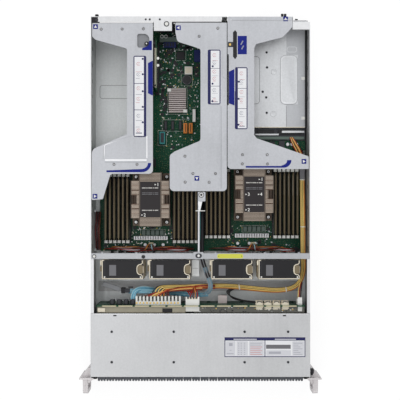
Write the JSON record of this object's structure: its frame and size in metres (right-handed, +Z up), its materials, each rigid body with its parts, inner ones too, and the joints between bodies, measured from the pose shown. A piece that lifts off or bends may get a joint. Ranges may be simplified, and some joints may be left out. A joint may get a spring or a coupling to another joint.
{
  "type": "2u rack server",
  "caption": "Low wide steel rack server with its lid off: front drive bays, fan row, two finned coolers, memory banks, lift-out risers, slide-in power supplies and handled rack ears",
  "frame": {"origin": "on the underside, in the middle of the width, below the rear face of the rack ears", "axes": "+Z up, +Y towards the rear wall, +X to the right seen from the front"},
  "size_m": [0.4826, 0.761, 0.0877],
  "materials": {
    "sheet_metal": "galvanised sheet steel",
    "cover_metal": "galvanised sheet steel",
    "bracket_metal": "galvanised sheet steel",
    "ear_cast": "satin painted die casting",
    "green_board": "solder mask",
    "black_plastic": "moulded",
    "white_plastic": "moulded",
    "drive_body": "dark moulded bezel and carrier",
    "fin_metal": "bare fins",
    "supply_metal": "plated sheet case",
    "memory_card": "solder mask with dark chips",
    "steel_screws": "zinc plated",
    "wires": "wire insulation",
    "data_wires": "flat cable jacket"
  },
  "bodies": {
    "chassis": {"chassis_tray": "sheet_metal", "front_cover": "cover_metal", "drive_cage": "sheet_metal", "backplane": "green_board", "backplane_connectors": "white_plastic", "ear_left": "ear_cast", "ear_right": "ear_cast", "screws": "steel_screws", "fan_bar": "cover_metal", "motherboard": "green_board", "memory_sockets": "white_plastic", "memory_modules": "memory_card", "heatsink_left": "fin_metal", "heatsink_right": "fin_metal", "board_parts": "black_plastic", "centre_strut": "bracket_metal", "psu_cage": "sheet_metal", "power_harness": "wires", "data_cable": "data_wires"},
    "drive_01": {"drive_01": "drive_body"},
    "drive_02": {"drive_02": "drive_body"},
    "drive_03": {"drive_03": "drive_body"},
    "drive_04": {"drive_04": "drive_body"},
    "drive_05": {"drive_05": "drive_body"},
    "drive_06": {"drive_06": "drive_body"},
    "drive_07": {"drive_07": "drive_body"},
    "drive_08": {"drive_08": "drive_body"},
    "drive_09": {"drive_09": "drive_body"},
    "drive_10": {"drive_10": "drive_body"},
    "drive_11": {"drive_11": "drive_body"},
    "drive_12": {"drive_12": "drive_body"},
    "drive_13": {"drive_13": "drive_body"},
    "drive_14": {"drive_14": "drive_body"},
    "drive_15": {"drive_15": "drive_body"},
    "drive_16": {"drive_16": "drive_body"},
    "drive_17": {"drive_17": "drive_body"},
    "drive_18": {"drive_18": "drive_body"},
    "drive_19": {"drive_19": "drive_body"},
    "drive_20": {"drive_20": "drive_body"},
    "drive_21": {"drive_21": "drive_body"},
    "drive_22": {"drive_22": "drive_body"},
    "drive_23": {"drive_23": "drive_body"},
    "drive_24": {"drive_24": "drive_body"},
    "fan_1": {"fan_1": "black_plastic"},
    "fan_2": {"fan_2": "black_plastic"},
    "fan_3": {"fan_3": "black_plastic"},
    "fan_4": {"fan_4": "black_plastic"},
    "rotor_1": {"rotor_1": "black_plastic"},
    "rotor_2": {"rotor_2": "black_plastic"},
    "rotor_3": {"rotor_3": "black_plastic"},
    "rotor_4": {"rotor_4": "black_plastic"},
    "riser_left": {"riser_left": "bracket_metal"},
    "riser_middle": {"riser_middle": "bracket_metal"},
    "riser_right": {"riser_right": "bracket_metal"},
    "psu_1": {"psu_1": "supply_metal"},
    "psu_2": {"psu_2": "supply_metal"},
    "psu_handle_1": {"psu_handle_1": "black_plastic"},
    "psu_handle_2": {"psu_handle_2": "black_plastic"},
    "power_button": {"power_button": "black_plastic"},
    "id_button": {"id_button": "black_plastic"}
  },
  "joints": [
    {"name": "drive_01_slide", "type": "slide", "parent": "chassis", "child": "drive_01", "axis": [0, -1, 0], "range_m": [0, 0.125]},
    {"name": "drive_02_slide", "type": "slide", "parent": "chassis", "child": "drive_02", "axis": [0, -1, 0], "range_m": [0, 0.125]},
    {"name": "drive_03_slide", "type": "slide", "parent": "chassis", "child": "drive_03", "axis": [0, -1, 0], "range_m": [0, 0.125]},
    {"name": "drive_04_slide", "type": "slide", "parent": "chassis", "child": "drive_04", "axis": [0, -1, 0], "range_m": [0, 0.125]},
    {"name": "drive_05_slide", "type": "slide", "parent": "chassis", "child": "drive_05", "axis": [0, -1, 0], "range_m": [0, 0.125]},
    {"name": "drive_06_slide", "type": "slide", "parent": "chassis", "child": "drive_06", "axis": [0, -1, 0], "range_m": [0, 0.125]},
    {"name": "drive_07_slide", "type": "slide", "parent": "chassis", "child": "drive_07", "axis": [0, -1, 0], "range_m": [0, 0.125]},
    {"name": "drive_08_slide", "type": "slide", "parent": "chassis", "child": "drive_08", "axis": [0, -1, 0], "range_m": [0, 0.125]},
    {"name": "drive_09_slide", "type": "slide", "parent": "chassis", "child": "drive_09", "axis": [0, -1, 0], "range_m": [0, 0.125]},
    {"name": "drive_10_slide", "type": "slide", "parent": "chassis", "child": "drive_10", "axis": [0, -1, 0], "range_m": [0, 0.125]},
    {"name": "drive_11_slide", "type": "slide", "parent": "chassis", "child": "drive_11", "axis": [0, -1, 0], "range_m": [0, 0.125]},
    {"name": "drive_12_slide", "type": "slide", "parent": "chassis", "child": "drive_12", "axis": [0, -1, 0], "range_m": [0, 0.125]},
    {"name": "drive_13_slide", "type": "slide", "parent": "chassis", "child": "drive_13", "axis": [0, -1, 0], "range_m": [0, 0.125]},
    {"name": "drive_14_slide", "type": "slide", "parent": "chassis", "child": "drive_14", "axis": [0, -1, 0], "range_m": [0, 0.125]},
    {"name": "drive_15_slide", "type": "slide", "parent": "chassis", "child": "drive_15", "axis": [0, -1, 0], "range_m": [0, 0.125]},
    {"name": "drive_16_slide", "type": "slide", "parent": "chassis", "child": "drive_16", "axis": [0, -1, 0], "range_m": [0, 0.125]},
    {"name": "drive_17_slide", "type": "slide", "parent": "chassis", "child": "drive_17", "axis": [0, -1, 0], "range_m": [0, 0.125]},
    {"name": "drive_18_slide", "type": "slide", "parent": "chassis", "child": "drive_18", "axis": [0, -1, 0], "range_m": [0, 0.125]},
    {"name": "drive_19_slide", "type": "slide", "parent": "chassis", "child": "drive_19", "axis": [0, -1, 0], "range_m": [0, 0.125]},
    {"name": "drive_20_slide", "type": "slide", "parent": "chassis", "child": "drive_20", "axis": [0, -1, 0], "range_m": [0, 0.125]},
    {"name": "drive_21_slide", "type": "slide", "parent": "chassis", "child": "drive_21", "axis": [0, -1, 0], "range_m": [0, 0.125]},
    {"name": "drive_22_slide", "type": "slide", "parent": "chassis", "child": "drive_22", "axis": [0, -1, 0], "range_m": [0, 0.125]},
    {"name": "drive_23_slide", "type": "slide", "parent": "chassis", "child": "drive_23", "axis": [0, -1, 0], "range_m": [0, 0.125]},
    {"name": "drive_24_slide", "type": "slide", "parent": "chassis", "child": "drive_24", "axis": [0, -1, 0], "range_m": [0, 0.125]},
    {"name": "fan_1_lift", "type": "slide", "parent": "chassis", "child": "fan_1", "axis": [0, 0, 1], "range_m": [0, 0.1]},
    {"name": "rotor_1_spin", "type": "hinge", "parent": "fan_1", "child": "rotor_1", "pos_m": [-0.1551, 0.215, 0.043], "axis": [0, 1, 0], "continuous": true},
    {"name": "fan_2_lift", "type": "slide", "parent": "chassis", "child": "fan_2", "axis": [0, 0, 1], "range_m": [0, 0.1]},
    {"name": "rotor_2_spin", "type": "hinge", "parent": "fan_2", "child": "rotor_2", "pos_m": [-0.0607, 0.215, 0.043], "axis": [0, 1, 0], "continuous": true},
    {"name": "fan_3_lift", "type": "slide", "parent": "chassis", "child": "fan_3", "axis": [0, 0, 1], "range_m": [0, 0.1]},
    {"name": "rotor_3_spin", "type": "hinge", "parent": "fan_3", "child": "rotor_3", "pos_m": [0.0631, 0.215, 0.043], "axis": [0, 1, 0], "continuous": true},
    {"name": "fan_4_lift", "type": "slide", "parent": "chassis", "child": "fan_4", "axis": [0, 0, 1], "range_m": [0, 0.1]},
    {"name": "rotor_4_spin", "type": "hinge", "parent": "fan_4", "child": "rotor_4", "pos_m": [0.1575, 0.215, 0.043], "axis": [0, 1, 0], "continuous": true},
    {"name": "riser_left_lift", "type": "slide", "parent": "chassis", "child": "riser_left", "axis": [0, 0, 1], "range_m": [0, 0.12]},
    {"name": "riser_middle_lift", "type": "slide", "parent": "chassis", "child": "riser_middle", "axis": [0, 0, 1], "range_m": [0, 0.12]},
    {"name": "riser_right_lift", "type": "slide", "parent": "chassis", "child": "riser_right", "axis": [0, 0, 1], "range_m": [0, 0.12]},
    {"name": "psu_1_slide", "type": "slide", "parent": "chassis", "child": "psu_1", "axis": [0, 1, 0], "range_m": [0, 0.2]},
    {"name": "psu_handle_1_swing", "type": "hinge", "parent": "psu_1", "child": "psu_handle_1", "pos_m": [0.12545, 0.723, 0.03575], "axis": [1, 0, 0], "range_deg": [0, 90]},
    {"name": "psu_2_slide", "type": "slide", "parent": "chassis", "child": "psu_2", "axis": [0, 1, 0], "range_m": [0, 0.2]},
    {"name": "psu_handle_2_swing", "type": "hinge", "parent": "psu_2", "child": "psu_handle_2", "pos_m": [0.18045, 0.723, 0.03575], "axis": [1, 0, 0], "range_deg": [0, 90]},
    {"name": "power_button_press", "type": "slide", "parent": "chassis", "child": "power_button", "axis": [0.6819, 0.7315, 0], "range_m": [0, 0.0015], "stiffness_N_per_m": 200},
    {"name": "id_button_press", "type": "slide", "parent": "chassis", "child": "id_button", "axis": [0.6819, 0.7315, 0], "range_m": [0, 0.0015], "stiffness_N_per_m": 200}
  ]
}
